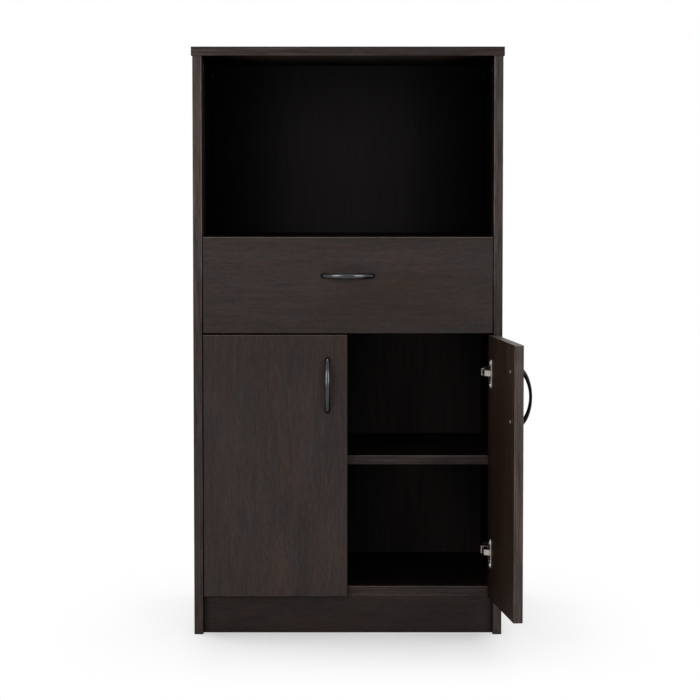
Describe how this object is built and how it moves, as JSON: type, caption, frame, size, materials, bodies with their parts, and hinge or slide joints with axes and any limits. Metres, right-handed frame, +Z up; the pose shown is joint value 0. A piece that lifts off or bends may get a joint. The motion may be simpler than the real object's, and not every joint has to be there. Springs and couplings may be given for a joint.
{
  "type": "microwave stand with drawer",
  "caption": "Tall kitchen stand: open bay for a microwave oven, a drawer on roller slides, and a cupboard with an adjustable shelf behind two hinged doors.",
  "frame": {"origin": "on the floor, on the cabinet's centreline, at the middle of the front plinth's foot", "axes": "+Z up, -Y towards the front with the doors and the drawer, +X towards the side of the open door"},
  "size_m": [0.668, 0.7567, 1.189],
  "materials": {
    "espresso_laminate": "espresso wood-grain laminate on particle board, satin",
    "drawer_laminate": "espresso foil on drawer boards, matte",
    "hardboard": "dark printed hardboard inside, brown outside",
    "black_nickel": "black nickel plate, satin",
    "nickel_steel": "nickel-plated pressed steel",
    "plain_steel": "zinc-plated steel",
    "zinc_alloy": "die-cast zinc",
    "coated_steel": "dark brown epoxy coat",
    "nylon": "white nylon",
    "beech": "fluted beech"
  },
  "bodies": {
    "carcass": {"back_panel_nails": "plain_steel", "bottom_panel": "espresso_laminate", "cam_bolts": "plain_steel", "cam_locks": "zinc_alloy", "cupboard_shelf": "espresso_laminate", "drawer_divider": "espresso_laminate", "front_plinth": "espresso_laminate", "front_roller_axles": "plain_steel", "hinge_arm_screws": "plain_steel", "hinge_pins": "plain_steel", "hinge_plate_screws": "plain_steel", "left_hinge_arms": "nickel_steel", "left_hinge_plates": "nickel_steel", "left_side_panel": "espresso_laminate", "left_slide_channel": "coated_steel", "lower_back_panel": "hardboard", "microwave_shelf": "espresso_laminate", "rear_plinth": "espresso_laminate", "right_hinge_arms": "nickel_steel", "right_hinge_plates": "nickel_steel", "right_side_panel": "espresso_laminate", "right_slide_channel": "coated_steel", "shelf_pins": "plain_steel", "slide_channel_screws": "plain_steel", "top_panel": "espresso_laminate", "upper_back_panel": "hardboard", "wood_dowels": "beech"},
    "drawer": {"drawer_front": "espresso_laminate", "drawer_left_side": "drawer_laminate", "drawer_right_side": "drawer_laminate", "drawer_back": "drawer_laminate", "drawer_bottom": "hardboard", "drawer_handle": "black_nickel", "drawer_handle_screws": "plain_steel", "drawer_cam_locks": "zinc_alloy", "drawer_cam_bolts": "plain_steel", "drawer_back_screws": "plain_steel", "left_drawer_rail": "coated_steel", "right_drawer_rail": "coated_steel", "drawer_rail_screws": "plain_steel", "rear_roller_axles": "plain_steel"},
    "left_door": {"left_door_panel": "espresso_laminate", "left_door_handle": "black_nickel", "left_door_handle_screws": "plain_steel", "left_hinge_cups": "nickel_steel", "left_cup_screws": "plain_steel"},
    "right_door": {"right_door_panel": "espresso_laminate", "right_door_handle": "black_nickel", "right_door_handle_screws": "plain_steel", "right_hinge_cups": "nickel_steel", "right_cup_screws": "plain_steel"},
    "left_links": {"left_hinge_links": "nickel_steel"},
    "right_links": {"right_hinge_links": "nickel_steel"},
    "front_rollers": {"front_rollers": "nylon"},
    "rear_rollers": {"rear_rollers": "nylon"}
  },
  "joints": [
    {"name": "drawer_slide", "type": "slide", "parent": "carcass", "child": "drawer", "axis": [0, -1, 0], "range_m": [0, 0.3]},
    {"name": "left_door_hinge", "type": "hinge", "parent": "carcass", "child": "left_door", "pos_m": [-0.2975, -0.0258, 0.34365], "axis": [0, 0, -1], "range_deg": [0, 100]},
    {"name": "right_door_hinge", "type": "hinge", "parent": "carcass", "child": "right_door", "pos_m": [0.2975, -0.0258, 0.34365], "axis": [0, 0, 1], "range_deg": [-96.5, 3.5]},
    {"name": "left_link_turn", "type": "hinge", "parent": "carcass", "child": "left_links", "pos_m": [-0.274, -0.005, 0.34365], "axis": [0, 0, -1], "range_deg": [-0.1, 105.3]},
    {"name": "right_link_turn", "type": "hinge", "parent": "carcass", "child": "right_links", "pos_m": [0.274, -0.005, 0.34365], "axis": [0, 0, 1], "range_deg": [-101.62, 3.78]},
    {"name": "front_roller_spin", "type": "hinge", "parent": "carcass", "child": "front_rollers", "pos_m": [0, 0.005, 0.6527], "axis": [1, 0, 0], "continuous": true},
    {"name": "rear_roller_spin", "type": "hinge", "parent": "drawer", "child": "rear_rollers", "pos_m": [0, 0.377, 0.6538], "axis": [1, 0, 0], "continuous": true}
  ],
  "couplings": [
    {"joint": "left_link_turn", "follows": "left_door_hinge", "ratio": 1.052},
    {"joint": "right_link_turn", "follows": "right_door_hinge", "ratio": 1.052},
    {"joint": "front_roller_spin", "follows": "drawer_slide", "rad_per_m": 133.33},
    {"joint": "rear_roller_spin", "follows": "drawer_slide", "rad_per_m": 111.11}
  ]
}
